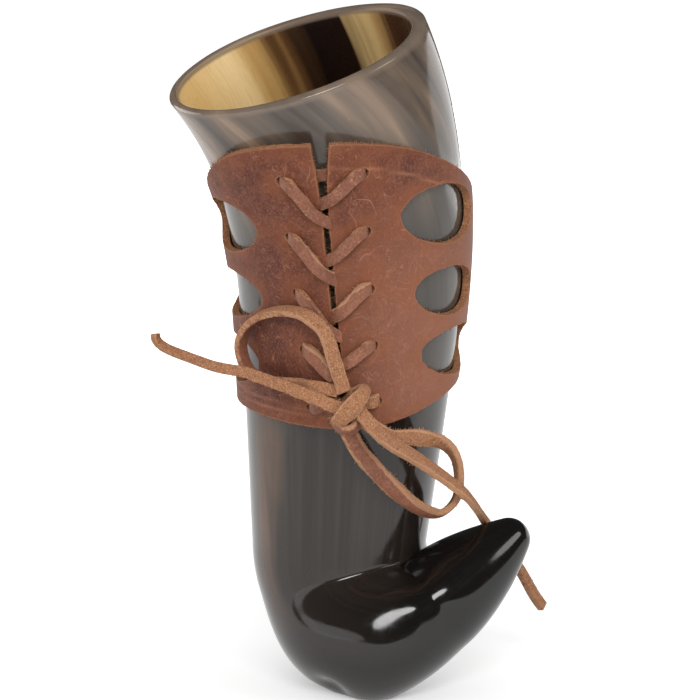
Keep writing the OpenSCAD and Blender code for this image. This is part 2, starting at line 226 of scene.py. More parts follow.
def soft_box(name, at, aim, size, watts, roll=0.0):
    lamp = bpy.data.lights.new(name, "AREA")
    lamp.shape = "ELLIPSE"
    lamp.size, lamp.size_y = size
    lamp.energy = watts
    made = bpy.data.objects.new(name, lamp)
    made.location = at
    look = (Vector(aim) - Vector(at)).to_track_quat("-Z", "Y").to_matrix()
    made.rotation_euler = (look @ Matrix.Rotation(math.radians(roll), 3, "Z")).to_euler()
    made.visible_camera = False
    bpy.context.scene.collection.objects.link(made)


make_floor()
make_sky()
MIDDLE = (0, 0, 0.1)
soft_box("key_box", (0.04, -1.06, 0.66), MIDDLE, (0.7, 0.34), 7.5, 20)
soft_box("fill_box", (0.92, -0.42, 0.62), MIDDLE, (0.5, 0.4), 2.0)
soft_box("left_card", (-0.85, -0.55, 0.12), MIDDLE, (1.2, 0.28), 1.2)
soft_box("left_panel", (-1.1, 0.55, 0.3), MIDDLE, (1.0, 0.68), 5)
soft_box("right_panel", (0.92, 0.98, 0.16), MIDDLE, (1.4, 0.5), 2.5)
bpy.context.scene.view_settings.view_transform = "Standard"

# %% [markdown]
# The horn's shape is a stack of sections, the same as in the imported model. The shaft has one
# section at each height, which widens, leans to the left and tips forward towards the mouth.
# Below it the sections fan out round a crease, and then run on along the hook. All lengths are
# in millimetres here, and become metres where a vertex is made. The sections are those of the
# horn held upright; at the end every piece is set on the sole, where the horn leans forward.

# %% The horn's sections
UP = Vector((0, 0, 1))
MOUTH_H, MOUTH_W, MOUTH_DEPTH = 192, 78, 0.95
MOUTH_SHIFT, MOUTH_REACH = 19, 4
MOUTH_TILT, MOUTH_NOD = math.radians(17), math.radians(8)
NECK_H, NECK_WAIST = 96, 0.5
WAIST_AT, WAIST_SPREAD = 0.8, 0.15
CREASE_H, ANKLE_W, CREASE_R = 44, 53, 2
SOLE_REACH, SHAFT_DRIFT = 14, 7
HOOK_TURN, HOOK_VEER, HOOK_BEND = math.radians(41), math.radians(68), math.radians(126)
VEER_FROM = math.radians(20)
BEND_DIR = Vector((math.sin(HOOK_TURN), -math.cos(HOOK_TURN), 0))
SHAFT_AT = -SOLE_REACH * BEND_DIR
STAND_LEAN, SOLE_MID = math.radians(8), Vector((-2.6496, -11.7976, 1.142))
STAND = Matrix.Translation(-SOLE_MID * MM) @ Matrix.Rotation(STAND_LEAN, 4, "X")


def mix(a, b, t):
    return a + (b - a) * t


def clip(t):
    return min(1.0, max(0.0, t))


def bell(t, mid, spread):
    return math.exp(-(((t - mid) / spread) ** 2))


def neck_t(z):
    return clip((z - NECK_H) / (MOUTH_H - NECK_H))


def body_t(z):
    return (z - CREASE_H) / (MOUTH_H - CREASE_H)


def body_mid(z):
    side = SHAFT_DRIFT * body_t(z) - MOUTH_SHIFT * neck_t(z) ** 3
    return SHAFT_AT + Vector((side, -MOUTH_REACH * neck_t(z) ** 2, z))


def body_axes(z):
    tilt, nod = MOUTH_TILT * neck_t(z) ** 1.5, MOUTH_NOD * neck_t(z)
    x = Vector((math.cos(tilt), 0, math.sin(tilt)))
    n = Vector((-math.sin(tilt) * math.cos(nod), -math.sin(nod), math.cos(tilt) * math.cos(nod)))
    return x, n.cross(x), n


def body_size(z):
    t = body_t(z)
    a = mix(ANKLE_W, MOUTH_W, t) / 2 - NECK_WAIST * bell(t, WAIST_AT, WAIST_SPREAD)
    return a, a * mix(1, MOUTH_DEPTH, t)


def body_pt(z, turn, off):
    """A point on the shaft's section at z; a turn of 0 faces the front and 90 degrees the right."""
    (x, y, _), (a, b) = body_axes(z), body_size(z)
    return body_mid(z) + (a + off) * math.sin(turn) * x - (b + off) * math.cos(turn) * y


def section_at(z, turn):
    """The section whose edge passes through height z in that direction."""
    found = z
    for _ in range(3):
        found -= body_pt(found, turn, 0).z - z
    return found


def ring_matrix(mid, x, y, a, b):
    """Turns a flat circle of radius 1 into a section with half axes a and b, in metres."""
    n = x.cross(y)
    columns = [x * a, y * b, n]
    made = Matrix([[c[i] for c in columns] + [mid[i]] for i in range(3)] + [[0, 0, 0, 1]])
    return Matrix.Diagonal((MM, MM, MM, 1)) @ made


# %% [markdown]
# The bend and the hook use the same kind of section. A fan of circles round the crease makes
# the heel and the ball, and veers to the right on its way up, as a horn spirals. A Curve object
# with a bevel could follow the bend too, but it would fold over itself on the tight inner side.

# %% Sections of the bend, the hook and the hollow
HOOK_ROOT_W, TIP_W, HOOK_LEN, HOOK_TAPER = 31.5, 11.5, 32.5, 1.7
HOOK_CURL = math.radians(2)
BEND_EASE = 1.25
HEEL = (0.4, 0.42, 0.14)
BALL = (1.0, 0.64, 0.10)
MOUTH_WALL, WALL_DRIFT, ANKLE_WALL = 3.6, 0.9, 7
LIP_H = 1.3
HOLLOW_FLOOR, HOLLOW_ROUND = CREASE_H + 5, 14
CREASE_PT = body_mid(CREASE_H) + (ANKLE_W / 2 + CREASE_R) * BEND_DIR


def ease(q):
    return q * q * (3 - 2 * q)


def turn_at(phi):
    """The level direction of the bend, which veers on its way up to the hook."""
    return HOOK_TURN + HOOK_VEER * ease(clip((phi - VEER_FROM) / (HOOK_BEND - VEER_FROM)))


def level_dir(phi):
    return Vector((math.sin(turn_at(phi)), -math.cos(turn_at(phi)), 0))


def fan_dir(phi):
    return math.cos(phi) * level_dir(phi) + math.sin(phi) * UP


def hook_dir(phi):
    return math.sin(phi) * level_dir(phi) - math.cos(phi) * UP


def bend_r(t):
    r = mix(ANKLE_W / 2, HOOK_ROOT_W / 2, ease(t ** BEND_EASE))
    return r + sum(high * bell(t, mid, spread) for high, mid, spread in (HEEL, BALL))


def fan_axes(phi):
    """The section's own x and y, so that a turn of 0 still faces the front at the shaft."""
    e, side = fan_dir(phi), UP.cross(level_dir(phi))
    x = math.sin(HOOK_TURN) * e + math.cos(HOOK_TURN) * side
    y = -math.cos(HOOK_TURN) * e + math.sin(HOOK_TURN) * side
    return x, y


def bend_section(t):
    phi, r = HOOK_BEND * t, bend_r(t)
    return ring_matrix(CREASE_PT - (r + CREASE_R) * fan_dir(phi), *fan_axes(phi), r, r)


HOOK_ROOT = CREASE_PT - (HOOK_ROOT_W / 2 + CREASE_R) * fan_dir(HOOK_BEND)


def hook_mid(u):
    return HOOK_ROOT + u * hook_dir(HOOK_BEND + HOOK_CURL * u / HOOK_LEN / 2)


def hook_section(u):
    r = mix(HOOK_ROOT_W, TIP_W, (u / HOOK_LEN) ** HOOK_TAPER) / 2
    return ring_matrix(hook_mid(u), *fan_axes(HOOK_BEND + HOOK_CURL * u / HOOK_LEN), r, r)


def tip_section(t):
    """The round end, which starts at the slope of the hook's side; t goes from 0 to 1 at its pole."""
    phi = HOOK_BEND + HOOK_CURL
    slope = math.atan((HOOK_ROOT_W - TIP_W) / 2 * HOOK_TAPER / HOOK_LEN)
    r, q = TIP_W / 2 / math.cos(slope), mix(slope, math.pi / 2, t)
    mid = hook_mid(HOOK_LEN) + r * (math.sin(q) - math.sin(slope)) * hook_dir(phi)
    return ring_matrix(mid, *fan_axes(phi), r * math.cos(q), r * math.cos(q))


def body_section(z):
    x, y, _ = body_axes(z)
    return ring_matrix(body_mid(z), x, y, *body_size(z))


def wall(z):
    return mix(ANKLE_WALL, MOUTH_WALL, body_t(z))


def lip_section(q):
    """The lip's round edge; the wall is thicker on the right, so the middle drifts to the left."""
    (x, y, n), (a, b) = body_axes(MOUTH_H), body_size(MOUTH_H)
    share = (1 - math.cos(q)) / 2
    mid = body_mid(MOUTH_H) - WALL_DRIFT * share * x + LIP_H * math.sin(q) * n
    return ring_matrix(mid, x, y, a - share * wall(MOUTH_H), b - share * wall(MOUTH_H))


def hollow_section(z, share=1.0):
    (x, y, _), (a, b) = body_axes(z), body_size(z)
    mid = body_mid(z) - WALL_DRIFT * body_t(z) * x
    return ring_matrix(mid, x, y, share * (a - wall(z)), share * (b - wall(z)))


def floor_section(q):
    return hollow_section(HOLLOW_FLOOR + HOLLOW_ROUND * (1 - math.sin(q)), math.cos(q))


# %% [markdown]
# A loft is one ring of edges that is extruded again and again, and each new ring is carried to
# its place by the matrix that takes the last section to the next one. The same helper makes the
# horn from a circle and the lace from a flat rounded section. Each ring also stores where it is
# along and round the piece, so that a pattern can follow the surface later.

# %% Loft helper
def start_ring(bm, outline):
    ring = bmesh.ops.create_circle(bm, segments=len(outline), radius=1)["verts"]
    for vert, place in zip(ring, outline):
        vert.co = (*place, 0)
    return ring


def once(items):
    """The items without repeats, in the order they came, so that every run is alike."""
    return list(dict.fromkeys(items))


def ring_edges(ring):
    members = set(ring)
    return [e for e in once(e for v in ring for e in v.link_edges) if set(e.verts) <= members]


def loft(bm, outline, sections, stamp):
    """Extrudes the outline through the sections; stamp(vertex, index) stores what a ring knows."""
    ring = start_ring(bm, outline)
    bmesh.ops.transform(bm, matrix=sections[0], verts=ring)
    first = ring
    for vert in ring:
        stamp(vert, 0)
    for index in range(1, len(sections)):
        step = bmesh.ops.extrude_edge_only(bm, edges=ring_edges(ring))["geom"]
        ring = [g for g in step if isinstance(g, bmesh.types.BMVert)]
        bmesh.ops.transform(bm, matrix=sections[index] @ sections[index - 1].inverted(), verts=ring)
        for vert in ring:
            stamp(vert, index)
    return first, ring


def close_ring(bm, ring):
    """Closes an open end with a fan round its middle."""
    middle = sum((v.co for v in ring), Vector()) / len(ring)
    made = bmesh.ops.extrude_edge_only(bm, edges=ring_edges(ring))["geom"]
    verts = [g for g in made if isinstance(g, bmesh.types.BMVert)]
    bmesh.ops.pointmerge(bm, verts=verts, merge_co=middle)


def set_down(bm):
    """Sets a piece on the sole, from the upright horn to where it leans and stands."""
    bmesh.ops.transform(bm, matrix=STAND, verts=bm.verts)
    bmesh.ops.recalc_face_normals(bm, faces=bm.faces)


def finish_mesh(bm, name, materials):
    mesh = bpy.data.meshes.new(name)
    bm.to_mesh(mesh)
    bm.free()
    for material in materials:
        mesh.materials.append(material)
    mesh.shade_smooth()
    piece = bpy.data.objects.new(name, mesh)
    bpy.context.scene.collection.objects.link(piece)
    print(name, "faces:", len(mesh.polygons))
    return piece


def hand_over(piece, node):
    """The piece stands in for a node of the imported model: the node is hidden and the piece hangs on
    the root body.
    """
    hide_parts(node)
    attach(piece, "root")


# %% [markdown]
# Horn is keratin, like a nail: it grows in fibres along its length, so its colour runs in
# streaks from the tip to the mouth. It is black at the tip, grey-brown at the mouth and honey
# coloured inside. The streaks follow an attribute that the loft stores, and a second one tells
# the inside from the outside. The gloss is plain: a low roughness with faint scratches.

# %% Horn finish
BLACK_TIP = (0.006, 0.005, 0.0045)
DARK_SHAFT = (0.018, 0.0135, 0.011)
GREY_SHAFT = (0.064, 0.055, 0.046)
SIDE_STRIPE = (0.115, 0.066, 0.040, 1)
PALE_FIBRE = (0.042, 0.034, 0.027, 1)
RIM_TAUPE = (0.180, 0.134, 0.100, 1)
PALE_SPECK = (0.42, 0.38, 0.33, 1)
FAINT_FIBRE = (0.16, 0.12, 0.09, 1)
LINING_FIBRE = (0.16, 0.075, 0.022, 1)
LINING_GRAIN = (0.55, 0.40, 0.20, 1)
MOUTH_STREAKS = [
    (0.30, (0.048, 0.033, 0.025)), (0.42, (0.085, 0.067, 0.054)), (0.52, (0.135, 0.098, 0.072)),
    (0.62, (0.230, 0.160, 0.110)), (0.74, (0.330, 0.240, 0.168)),
]
WALL_STRIPES = [
    (0.00, (0.20, 0.15, 0.11)), (0.20, (0.16, 0.10, 0.065)), (0.29, (0.035, 0.016, 0.010)),
    (0.365, (0.055, 0.022, 0.010)), (0.388, (0.32, 0.19, 0.075)), (0.412, (0.50, 0.35, 0.155)),
    (0.43, (0.010, 0.0040, 0.0028)), (0.49, (0.006, 0.0028, 0.002)), (0.525, (0.09, 0.040, 0.013)),
    (0.56, (0.48, 0.29, 0.10)), (0.61, (0.76, 0.55, 0.27)), (0.68, (0.68, 0.44, 0.17)),
    (0.76, (0.74, 0.48, 0.20)), (0.88, (0.50, 0.33, 0.16)), (1.00, (0.20, 0.15, 0.11)),
]


def horn_flow(tree):
    """The growth lines: a place on them, the share of the way round and the share along."""
    flow = attribute(tree, "flow", "Vector")
    across, ahead, along = put(tree, "ShaderNodeSeparateXYZ", {0: flow}).outputs
    turn = sums(tree, "ARCTAN2", across, times(tree, ahead, -1.0))
    turn = single(tree, "FRACT", sums(tree, "DIVIDE", turn, 2 * math.pi))
    return flow, turn, along


def horn_polish(tree, surface, low, high, strength):
    """Faint scratches and soft dents, which break up the reflections."""
    place = object_place(tree)
    scuffs = cloud(tree, place, 420, 4, 0.7)
    scratch = cloud(tree, moved(tree, place, (1200, 1200, 90), (0.3, 0.2, 0.5)), 1.0, 2)
    dents = cloud(tree, moved(tree, place, (46, 46, 24)), 1.0, 2)
    height = plus(tree, dents, times(tree, scratch, 0.015))
    values = {"Strength": strength, "Distance": 0.4 * MM, "Height": height}
    feed(tree, surface, Roughness=ranged(tree, scuffs, 0.35, 0.75, low, high), IOR=1.5)
    feed(tree, surface, Normal=put(tree, "ShaderNodeBump", values).outputs[0])


def horn_skin():
    material, tree, surface = new_material("polished_horn")
    flow, turn, along = horn_flow(tree)
    streak = cloud(tree, moved(tree, flow, (2.6, 2.6, 3.2)), 1.0, 3, 0.5, 0.7)
    fine = cloud(tree, moved(tree, flow, (16, 16, 3.5)), 1.0, 4, 0.6, 0.4)
    patch = cloud(tree, moved(tree, flow, (2.2, 2.2, 2.0)), 1.0, 3, 0.5, 0.4)
    shade = plus(tree, along, ranged(tree, patch, 0.3, 0.7, -0.04, 0.04))
    skin = ramp(tree, shade, [
        (0.00, BLACK_TIP), (0.27, BLACK_TIP), (0.36, DARK_SHAFT), (0.60, DARK_SHAFT),
        (0.68, GREY_SHAFT), (1.00, GREY_SHAFT)])
    side = plus(tree, turn, ranged(tree, streak, 0.3, 0.7, -0.03, 0.03))
    stripe = times(tree, ranged(tree, side, 0.775, 0.83), ranged(tree, side, 0.865, 0.905, 1.0, 0.0))
    stripe = times(tree, stripe, ranged(tree, along, 0.36, 0.47, 0.0, 0.9))
    stripe = times(tree, stripe, ranged(tree, along, 0.58, 0.66, 1.0, 0.0))
    skin = blend(tree, stripe, skin, SIDE_STRIPE)
    veil = cloud(tree, moved(tree, flow, (5, 5, 0.9)), 1.0, 4, 0.6, 0.5)
    veil = times(tree, ranged(tree, veil, 0.40, 0.66, 0.0, 0.85), ranged(tree, along, 0.38, 0.50))
    skin = blend(tree, veil, skin, PALE_FIBRE)
    right = put(tree, "ShaderNodeSeparateXYZ", {0: object_place(tree)}).outputs[0]
    streak = plus(tree, streak, ranged(tree, right, -0.036, -0.012, 0.05, -0.05))
    mouth = ramp(tree, plus(tree, streak, ranged(tree, fine, 0.3, 0.7, -0.022, 0.022)), MOUTH_STREAKS)
    skin = blend(tree, ranged(tree, shade, 0.84, 0.95), skin, mouth)
    faint = times(tree, ranged(tree, fine, 0.5, 0.75), ranged(tree, along, 0.5, 0.9, 0.03, 0.07))
    skin = blend(tree, faint, skin, FAINT_FIBRE)
    specks = cloud(tree, moved(tree, object_place(tree), (1, 1, 0.55)), 330, 1)
    specks = times(tree, ranged(tree, specks, 0.815, 0.84, 0.0, 0.8), ranged(tree, along, 0.44, 0.47))
    skin = blend(tree, specks, skin, PALE_SPECK)
    skin = blend(tree, ranged(tree, along, 0.995, 0.9995, 0.0, 0.6), skin, RIM_TAUPE)
    feed(tree, surface, Base_Color=skin)
    horn_polish(tree, surface, 0.08, 0.19, 0.22)
    return material


def horn_lining():
    material, tree, surface = new_material("horn_lining")
    flow, turn, along = horn_flow(tree)
    fibre = cloud(tree, moved(tree, flow, (5, 5, 1.6)), 1.0, 2, 0.4, 0.4)
    fine = cloud(tree, moved(tree, flow, (40, 40, 3.0)), 1.0, 4, 0.65)
    grain = cloud(tree, moved(tree, flow, (60, 60, 60)), 1.0, 3, 0.7)
    stripes = ramp(tree, plus(tree, turn, ranged(tree, fibre, 0.3, 0.7, -0.018, 0.018)), WALL_STRIPES)
    colour = blend(tree, ranged(tree, fine, 0.45, 0.72, 0.0, 0.5), stripes, LINING_FIBRE, "MULTIPLY")
    colour = blend(tree, ranged(tree, fine, 0.5, 0.7, 0.0, 0.3), stripes, colour)
    colour = blend(tree, ranged(tree, grain, 0.5, 0.75, 0.0, 0.25), colour, LINING_GRAIN, "MULTIPLY")
    colour = blend(tree, ranged(tree, along, 0.997, 0.9998, 0.0, 0.8), colour, RIM_TAUPE)
    feed(tree, surface, Base_Color=colour, Specular_IOR_Level=0.1)
    horn_polish(tree, surface, 0.25, 0.38, 0.3)
    return material


# %% [markdown]
# The horn itself is one closed skin: from the tip along the hook, round the bend, up the shaft,
# over the rounded lip and down the hollow to its floor. A plane cuts the bottom flat, because
# the real one was sanded until it stood, and a small bevel breaks that edge. A little noise on
# the finished skin keeps the reflections from looking turned on a lathe.

# %% Horn
HORN_SIDES = 120
SOLE_BEVEL = 0.5
WAVES, WAVE_SIZE = 0.22, 24
FIBRE_TWIST, TWIST_RISE, TWIST_START = 0.7, 2.6, 1.6
HOOK_FROM, SHAFT_FROM = 0.22, 0.44
HEEL_ROUNDS, HEEL_REACH = 14, 0.05
# Each bump or dent runs from one place to another and has a height and a width
BUMPS = [
    ((-11.5, -19, 7), (-11.5, -19, 7.1), -2.2, 5), ((5, -29.2, 30.6), (10, -27.3, 32.8), -0.5, 5.5),
    ((14.6, -24.3, 34.9), (21.5, -20.8, 37.8), 1.1, 6),
]


def steps(low, high, count):
    return [mix(low, high, i / count) for i in range(count + 1)]


def horn_sections():
    """Each section with its place along the horn, from 0 at the tip to 1 at the mouth, and its side."""
    found = [(tip_section(t), 0.02, 0) for t in steps(0.93, 0.13, 6)]
    found += [(hook_section(u), mix(HOOK_FROM, 0.03, u / HOOK_LEN), 0) for u in steps(HOOK_LEN, 0, 30)]
    found += [(bend_section(t), mix(SHAFT_FROM, HOOK_FROM, t), 0) for t in steps(1, 0, 64)[1:]]
    rising = steps(CREASE_H, MOUTH_H, 70)[1:]
    found += [(body_section(z), mix(SHAFT_FROM, 1, body_t(z)), 0) for z in rising]
    found += [(lip_section(math.radians(q)), 1, clip(q / 90 - 1)) for q in steps(15, 165, 10)]
    low = HOLLOW_FLOOR + HOLLOW_ROUND
    found += [(hollow_section(z), mix(SHAFT_FROM, 1, body_t(z)), 1) for z in steps(MOUTH_H, low, 50)]
    found += [(floor_section(math.radians(q)), 0.45, 1) for q in (15, 30, 45, 58, 70, 80)]
    return found


def near(place, a, b):
    """How far a place is from the line between two others."""
    a, b = Vector(a), Vector(b)
    t = clip((place - a).dot(b - a) / (b - a).length_squared)
    return (place - a.lerp(b, t)).length


def horn_relief(bm):
    """Soft waves in the skin, the notch between heel and ball and the even front of the hook."""
    bm.normal_update()
    for vert in bm.verts:
        place = vert.co / MM
        push = WAVES * noise.noise(Vector((place.x, place.y, place.z * 0.5)) / WAVE_SIZE)
        push += sum(high * bell(near(place, a, b), 0, wide) for a, b, high, wide in BUMPS)
        vert.co += vert.normal * push * MM


def cut_sole(bm):
    """Cuts the horn flat where it stands, and breaks the sharp edge."""
    parts = bm.verts[:] + bm.edges[:] + bm.faces[:]
    table = {"plane_co": (0, 0, 0), "plane_no": (0, 0, -1)}
    cut = bmesh.ops.bisect_plane(bm, geom=parts, clear_outer=True, **table)
    rim = [g for g in cut["geom_cut"] if isinstance(g, bmesh.types.BMEdge)]
    bmesh.ops.edgeloop_fill(bm, edges=rim)
    bmesh.ops.bevel(bm, geom=rim, offset=SOLE_BEVEL * MM, segments=3, profile=0.5, affect="EDGES",
                    material=-1)
    bmesh.ops.recalc_face_normals(bm, faces=bm.faces)


def make_horn():
    sections = horn_sections()
    outline = [(math.cos(a), math.sin(a)) for a in steps(0, 2 * math.pi, HORN_SIDES)[:-1]]
    bm = bmesh.new()
    flow = bm.verts.layers.float_vector.new("flow")
    inner = bm.verts.layers.float.new("inner")

    def stamp(vert, index):
        section, along, inside = sections[index]
        local = section.inverted() @ vert.co
        # A turn of 0 is the front, which is -y of the section, and 90 degrees is its +x
        angle = math.atan2(local.x, -local.y)
        angle += FIBRE_TWIST * clip(along * TWIST_RISE - TWIST_START) ** 2 * (1 - inside)
        vert[flow] = Vector((math.sin(angle), -math.cos(angle), along))
        vert[inner] = inside

    first, last = loft(bm, outline, [s[0] for s in sections], stamp)
    close_ring(bm, first)
    close_ring(bm, last)
    # At the back, the shaft runs into the heel without a kink
    back = [v for v in bm.verts if v[flow].y > 0.2 and not v[inner]]
    heel = [v for v in back if abs(v[flow].z - SHAFT_FROM) < HEEL_REACH]
    every_way = {"use_axis_x": True, "use_axis_y": True, "use_axis_z": True}
    for _ in range(HEEL_ROUNDS):
        bmesh.ops.smooth_vert(bm, verts=heel, factor=0.5, **every_way)
    bmesh.ops.recalc_face_normals(bm, faces=bm.faces)
    horn_relief(bm)
    set_down(bm)
    cut_sole(bm)
    for face in bm.faces:
        face.material_index = round(sum(v[inner] for v in face.verts) / len(face.verts))
    hand_over(finish_mesh(bm, "horn_body", [horn_skin(), horn_lining()]), "horn")


make_horn()

# %% [markdown]
# Leather has two faces. The grain side is smooth, red-brown and marked by fine pale hairlines
# where it was bent; the flesh side and every cut edge are suede, pale and fuzzy. Both the sleeve
# and the lace need the two, so each face is a node group that gives a colour and a height. The
# groups take their coordinates from outside, so a pattern keeps its size on every piece.

# %% Leather and suede groups
COLOUR, VECTOR, VALUE = "NodeSocketColor", "NodeSocketVector", "NodeSocketFloat"
FACE_INPUTS = [("Place", VECTOR), ("Base", COLOUR), ("Light", COLOUR), ("Dark", COLOUR)]
FACE_OUTPUTS = [("Colour", COLOUR), ("Height", VALUE)]
RED_BROWN = (0.108, 0.033, 0.0205, 1)
DARK_BROWN = (0.066, 0.023, 0.018, 1)
ORANGE = (0.235, 0.076, 0.032, 1)
PALE_LINE = (0.370, 0.160, 0.095, 1)
SUEDE_TAN = (0.325, 0.146, 0.072, 1)
SUEDE_LIGHT = (0.560, 0.315, 0.180, 1)
SUEDE_DARK = (0.115, 0.040, 0.017, 1)


def new_group(name, inputs, outputs):
    group = bpy.data.node_groups.new(name, "ShaderNodeTree")
    for title, kind in inputs:
        group.interface.new_socket(title, in_out="INPUT", socket_type=kind)
    for title, kind in outputs:
        group.interface.new_socket(title, in_out="OUTPUT", socket_type=kind)
    return group, put(group, "NodeGroupInput").outputs


def tones(place, base, light, dark):
    return {"Place": place, "Base": base, "Light": light, "Dark": dark}


def use_group(tree, group, inputs):
    return put(tree, "ShaderNodeGroup", inputs, node_tree=group).outputs


def contour(tree, value, count, thick):
    """Thin lines where a value passes one of several levels, like the lines on a map."""
    level = single(tree, "FRACT", times(tree, value, count))
    off = single(tree, "ABSOLUTE", sums(tree, "SUBTRACT", level, 0.5))
    return ranged(tree, off, 0.0, thick, 1.0, 0.0)


def grain_group():
    group, given = new_group("leather_grain", FACE_INPUTS, FACE_OUTPUTS)
    place = given["Place"]
    mottle = cloud(group, place, 55, 4, 0.6, 0.4)
    grit = cloud(group, place, 1500, 3, 0.75)
    fog = cloud(group, place, 210, 5, 0.7)
    tone = blend(group, ranged(group, mottle, 0.34, 0.64, 0.25, 1.0), given["Dark"], given["Base"])
    tone = blend(group, ranged(group, fog, 0.45, 0.8, 0.0, 0.28), tone, given["Light"])
    tone = blend(group, ranged(group, grit, 0.50, 0.70, 0.0, 0.33), tone, given["Light"])
    tone = blend(group, ranged(group, grit, 0.30, 0.48, 0.7, 0.0), tone, given["Dark"])
    hairs = contour(group, cloud(group, place, 95, 3, 0.6, 0.9), 11, 0.10)
    gaps = ranged(group, cloud(group, place, 360, 2), 0.44, 0.58)
    patches = ranged(group, cloud(group, place, 38, 2), 0.36, 0.54)
    hairs = times(group, times(group, hairs, gaps), patches)
    slanted = moved(group, place, (1, 1, 0.6), (0.4, 0.2, 0.7))
    scars = contour(group, cloud(group, slanted, 60, 1, 0.5, 1.5), 4, 0.022)
    scars = times(group, scars, ranged(group, cloud(group, place, 90, 1), 0.56, 0.60))
    hairs = sums(group, "MAXIMUM", times(group, hairs, 0.85), scars)
    tone = blend(group, times(group, hairs, 0.75), tone, given["Light"])
    height = sums(group, "SUBTRACT", times(group, grit, 0.6), times(group, hairs, 0.5))
    put(group, "NodeGroupOutput", {"Colour": tone, "Height": height})
    return group


def suede_group():
    group, given = new_group("suede_nap", FACE_INPUTS, FACE_OUTPUTS)
    place = given["Place"]
    tuft = cloud(group, place, 2500, 3, 0.75, 0.8)
    clump = cloud(group, place, 900, 3, 0.6, 0.5)
    tone = blend(group, ranged(group, tuft, 0.50, 0.68, 0.0, 0.9), given["Base"], given["Light"])
    tone = blend(group, ranged(group, tuft, 0.32, 0.47, 0.9, 0.0), tone, given["Dark"])
    tone = blend(group, ranged(group, clump, 0.34, 0.48, 0.3, 0.0), tone, given["Dark"])
    height = plus(group, tuft, times(group, clump, 0.8))
    put(group, "NodeGroupOutput", {"Colour": tone, "Height": height})
    return group


GRAIN, SUEDE = grain_group(), suede_group()
print("groups:", GRAIN.name, SUEDE.name)

# %% [markdown]
# A cut leather edge is furry. Each fibre is one face of that edge, pulled out in two steps: first
# it shrinks to the fibre's thickness, and then it moves out at a slant and narrows to a tip. Hair
# particles could grow there too, but these fibres stay part of the closed mesh. Faces that are
# too small or too long for a fibre are left alone.

# %% Fibres
FIBRE_THICK, FIBRE_TIP, FIBRE_SLANT = 0.13, 0.3, 0.8
LEAST_SIDE, LONGEST = 1.5 * FIBRE_THICK, 7
FIBRE_SHARE = 1


def in_order(faces):
    """Faces sorted by place, so that every run draws the same fibres."""
    return sorted(faces, key=lambda f: tuple(f.calc_center_median()))


def fuzz(bm, faces, share, long, seed, layer=None):
    """Pulls a short slanted fibre out of some of the faces; a layer marks the fibres as suede."""
    chance = random.Random(seed)
    faces = in_order(faces)
    wide = [f for f in faces if f.calc_area() > max(LEAST_SIDE * MM, f.calc_perimeter() / LONGEST) ** 2]
    drawn = [f for f in wide if chance.random() < FIBRE_SHARE * share]
    for out in (0, 1):
        drawn = in_order(bmesh.ops.extrude_discrete_faces(bm, faces=drawn)["faces"])
        for face in drawn:
            face.normal_update()
            middle, size = face.calc_center_median(), math.sqrt(face.calc_area())
            slant = Vector((chance.uniform(-1, 1), chance.uniform(-1, 1), chance.uniform(-1, 1)))
            push = (face.normal + FIBRE_SLANT * slant) * long * MM * chance.uniform(0.4, 1) * out
            small = FIBRE_TIP if out else FIBRE_THICK * MM / size
            for vert in face.verts:
                vert.co = middle + push + (vert.co - middle) * small
                if layer:
                    vert[layer] = 1


# %% [markdown]
# The three finishes of the sleeve come from those groups. The grain side turns more orange near its
# edges and bridges, where the leather was stretched, and carries the pressed line that runs along its
# top and bottom edges. Towards the right and the bottom it is painted paler, as painted light where the
# leather faces the light. The cut edge is the palest part, because raw fibres show there.

# %% Sleeve finishes
def bumped(tree, height, strength, deep):
    values = {"Strength": strength, "Distance": deep * MM, "Height": height}
    return put(tree, "ShaderNodeBump", values).outputs[0]


def sleeve_grain():
    material, tree, surface = new_material("sleeve_grain")
    place = object_place(tree)
    edge, line = attribute(tree, "edge"), attribute(tree, "line")
    face = use_group(tree, GRAIN, tones(place, RED_BROWN, PALE_LINE, DARK_BROWN))
    stretched = plus(tree, edge, ranged(tree, cloud(tree, place, 120, 3), 0.3, 0.7, -3.5, 3.5))
    across, _, up = put(tree, "ShaderNodeSeparateXYZ", {0: place}).outputs
    # Painted light: the grain side is painted paler towards the right and the bottom, where it faces the
    # light
    painted_light = times(tree, ranged(tree, across, -0.015, 0.02), ranged(tree, up, 0.165, 0.125))
    colour = blend(tree, times(tree, painted_light, 0.55), face["Colour"], PALE_LINE)
    colour = blend(tree, ranged(tree, stretched, 0.5, 7.0, 0.42, 0.0), colour, ORANGE)
    colour = blend(tree, ranged(tree, edge, 0.0, 0.45, 0.55, 0.0), colour, SUEDE_TAN)
    colour = blend(tree, times(tree, line, 0.5), colour, PALE_LINE)
    height = sums(tree, "SUBTRACT", face["Height"], times(tree, line, 0.8))
    feed(tree, surface, Base_Color=colour, Roughness=0.55, IOR=1.45, Specular_IOR_Level=0.17)
    feed(tree, surface, Normal=bumped(tree, height, 0.5, 0.12))
    return material


def suede_material(name, base, light, dark):
    material, tree, surface = new_material(name)
    nap = use_group(tree, SUEDE, tones(object_place(tree), base, light, dark))
    feed(tree, surface, Base_Color=nap["Colour"], Roughness=0.95, Specular_IOR_Level=0.1)
    feed(tree, surface, Normal=bumped(tree, nap["Height"], 0.9, 0.25))
    return material


# %% [markdown]
# The sleeve is cut flat, as the real one is: a grid of cells in the pattern's own plane, with
# six windows and ten lace holes taken out. A boolean would leave long thin faces there, so the
# cells inside an opening are deleted and the cells along it are drawn onto its outline. Only
# then is the sheet wrapped round the shaft, where it lifts a little on both sides of the slit.

